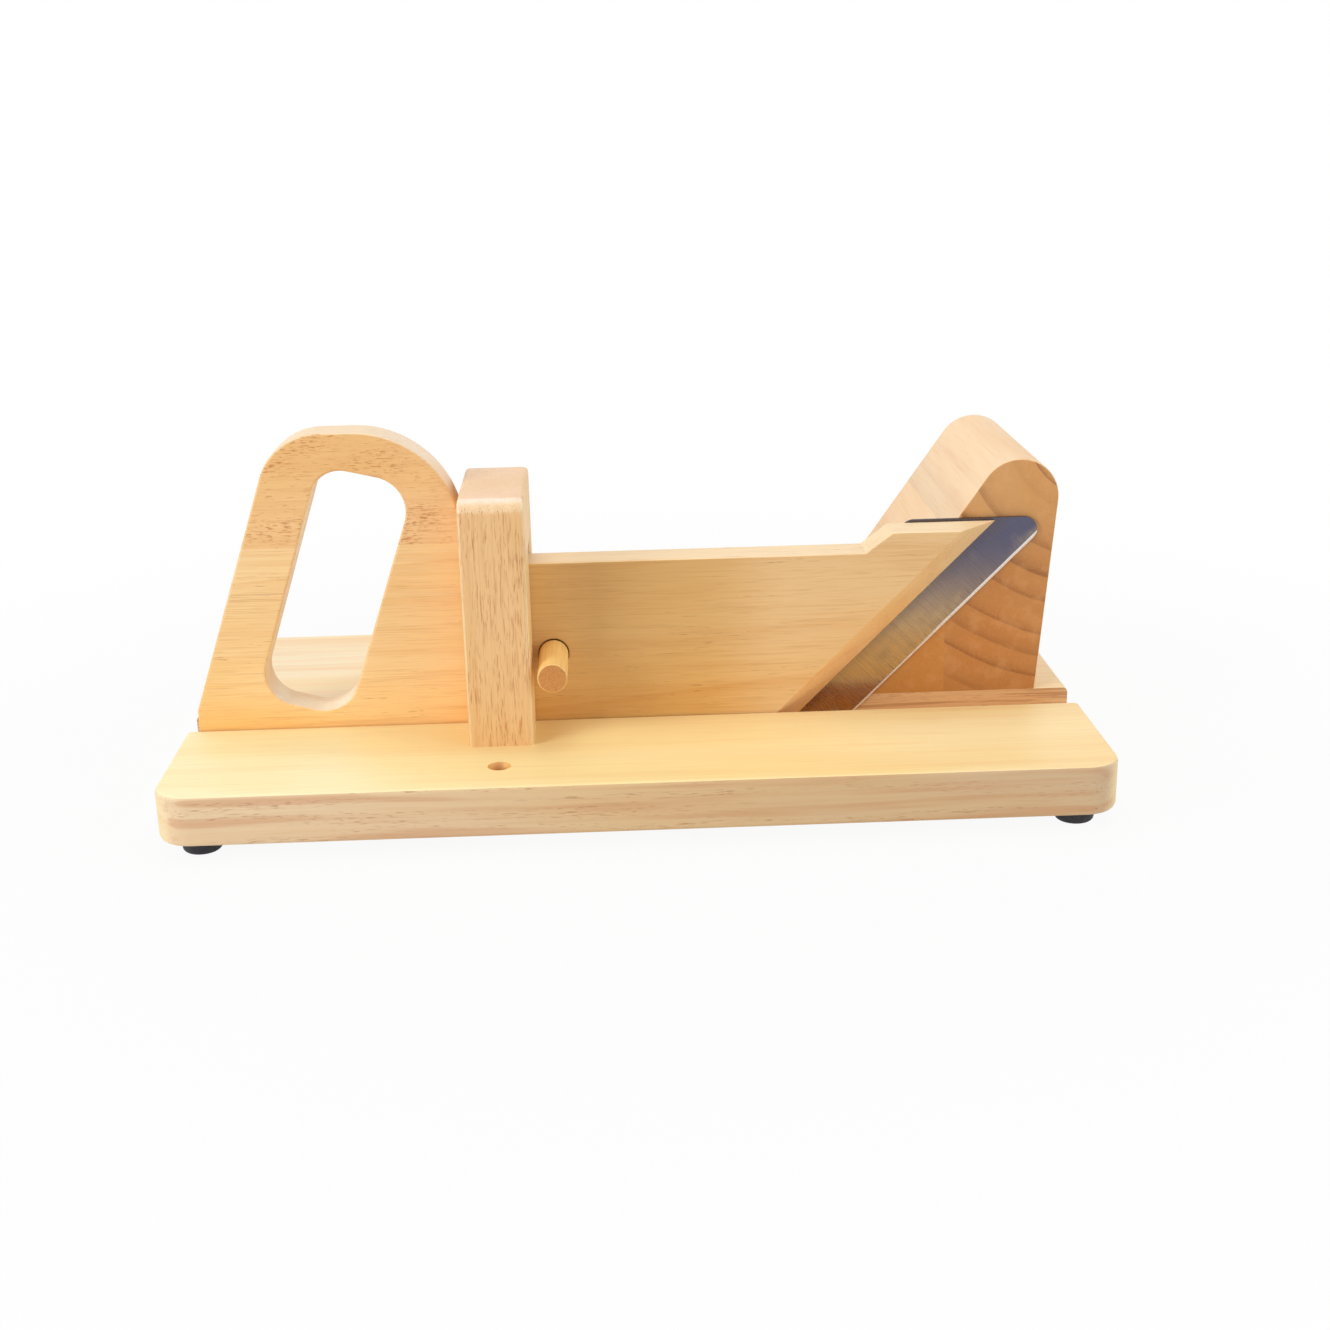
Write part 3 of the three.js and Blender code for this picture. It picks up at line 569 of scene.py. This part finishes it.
def finer_copy(name, material, body, joints):
    """Welded, smooth-shaded copy of a CAD node in its body and slot.

    Where joints is a list, sharp edges are broken, apart from those in the plane of a joint."""
    mesh = bpy.data.meshes.new(name + "_look")
    shape = bmesh.new()
    shape.from_mesh(frame["nodes"][name].data)
    bmesh.ops.remove_doubles(shape, verts=shape.verts, dist=WELD)
    bmesh.ops.dissolve_limit(shape, angle_limit=FLAT, verts=shape.verts, edges=shape.edges)
    if joints is not None:
        crisp = [
            edge for edge in shape.edges
            if edge.is_manifold and edge.calc_face_angle() > SHARP
            and not any(in_plane(edge, axis, value) for axis, value in joints)
        ]
        bmesh.ops.bevel(shape, geom=crisp, offset=SOFT_EDGE, segments=2, profile=0.5,
                        affect="EDGES", clamp_overlap=True)
    for face in shape.faces:
        face.smooth = True
    for edge in shape.edges:
        edge.smooth = edge.is_manifold and edge.calc_face_angle() < SHARP
    shape.to_mesh(mesh)
    shape.free()
    mesh.materials.append(material)
    copy = bpy.data.objects.new(name + "_look", mesh)
    bpy.context.scene.collection.objects.link(copy)
    normals = copy.modifiers.new("normals", "WEIGHTED_NORMAL")
    normals.keep_sharp = True
    normals.weight = NORMAL_WEIGHT
    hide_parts(name)
    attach(copy, body)


def dress_nodes():
    """Finer copies of all nodes. Wooden pieces, apart from the pin, stay sharp only at their joints."""
    materials = make_materials()
    record = frame["record"]
    slots = {part["node"]: part["material_slot"] for part in record["subparts"]}
    stand = ("Z", arch_low.z)
    handle_joint = ("Z", handle_low.z)
    anvil_joint = ("X", anvil_glue)
    joints = {
        "base_board": [],
        "guide_arch": [stand],
        "anvil_left": [stand, anvil_joint],
        "anvil_right": [stand, anvil_joint],
        "carriage_board": [handle_joint],
        "handle_top": [handle_joint],
    }
    for body, members in record["behaviour"]["bodies"].items():
        for name in members:
            material = materials.get(name) or materials[slots[name]]
            finer_copy(name, material, body, joints.get(name))


def light_mask(tree):
    """1 for rays that show the background: camera, glossy and transmission rays."""
    path = tree.nodes.new("ShaderNodeLightPath")
    first = tree.nodes.new("ShaderNodeMath")
    first.operation = "MAXIMUM"
    second = tree.nodes.new("ShaderNodeMath")
    second.operation = "MAXIMUM"
    tree.links.new(path.outputs["Is Camera Ray"], first.inputs[0])
    tree.links.new(path.outputs["Is Glossy Ray"], first.inputs[1])
    tree.links.new(first.outputs[0], second.inputs[0])
    tree.links.new(path.outputs["Is Transmission Ray"], second.inputs[1])
    return second.outputs[0]


def add_world():
    """White behind the object, and a dimmer white room as light on it."""
    world = bpy.data.worlds.new("studio")
    bpy.context.scene.world = world
    world.use_nodes = True
    tree = world.node_tree
    room = tree.nodes["Background"]
    room.inputs["Color"].default_value = WHITE
    room.inputs["Strength"].default_value = ROOM_LIGHT
    white = tree.nodes.new("ShaderNodeBackground")
    white.inputs["Color"].default_value = WHITE
    white.inputs["Strength"].default_value = 1.0
    mix = tree.nodes.new("ShaderNodeMixShader")
    tree.links.new(light_mask(tree), mix.inputs[0])
    tree.links.new(room.outputs[0], mix.inputs[1])
    tree.links.new(white.outputs[0], mix.inputs[2])
    tree.links.new(mix.outputs[0], tree.nodes["World Output"].inputs["Surface"])


def add_floor():
    """White floor that fades into the background, and keeps the shadow near the object."""
    mesh = bpy.data.meshes.new("floor")
    shape = bmesh.new()
    bmesh.ops.create_circle(shape, cap_ends=True, radius=FLOOR_RADIUS, segments=FLOOR_SIDES)
    shape.to_mesh(mesh)
    shape.free()
    floor = bpy.data.objects.new("floor", mesh)
    bpy.context.scene.collection.objects.link(floor)
    g = Graph("floor")
    tree = g.tree
    tree.nodes.remove(g.shader)
    paper = g.add("BsdfDiffuse", {"Color": FLOOR_GREY})
    glow = g.add("Emission", {"Color": WHITE, "Strength": 1.0})
    reach = g.vector("LENGTH", g.place)["Value"]
    share = g.both(g.spread(reach, SHADOW_REACH, SHADOW_END, FLOOR_GLOW, 1.0), light_mask(tree))
    mix = g.add("MixShader", {0: share, 1: paper.outputs[0], 2: glow.outputs[0]})
    tree.links.new(mix.outputs[0], tree.nodes["Material Output"].inputs["Surface"])
    mesh.materials.append(g.material)


def add_softbox(name, place, size, level):
    """Square lamp that gives a white surface facing it this value, where the object stands."""
    away = LIT_POINT - Vector(place)
    data = bpy.data.lights.new(name, "AREA")
    data.shape = "SQUARE"
    data.size = size
    data.energy = level * math.pi ** 2 * away.length_squared
    lamp = bpy.data.objects.new(name, data)
    bpy.context.scene.collection.objects.link(lamp)
    lamp.location = place
    lamp.rotation_euler = away.to_track_quat("-Z", "Y").to_euler()


add_camera()
dress_nodes()
add_world()
add_floor()
add_softbox("softbox_left", place=(-1.1, -0.75, 0.55), size=0.6, level=0.52)
add_softbox("softbox_right", place=(1.2, -0.5, 0.5), size=0.9, level=0.3)
add_softbox("softbox_top", place=(0.0, 0.15, 1.4), size=1.0, level=0.42)
bpy.context.scene.view_settings.view_transform = "Standard"
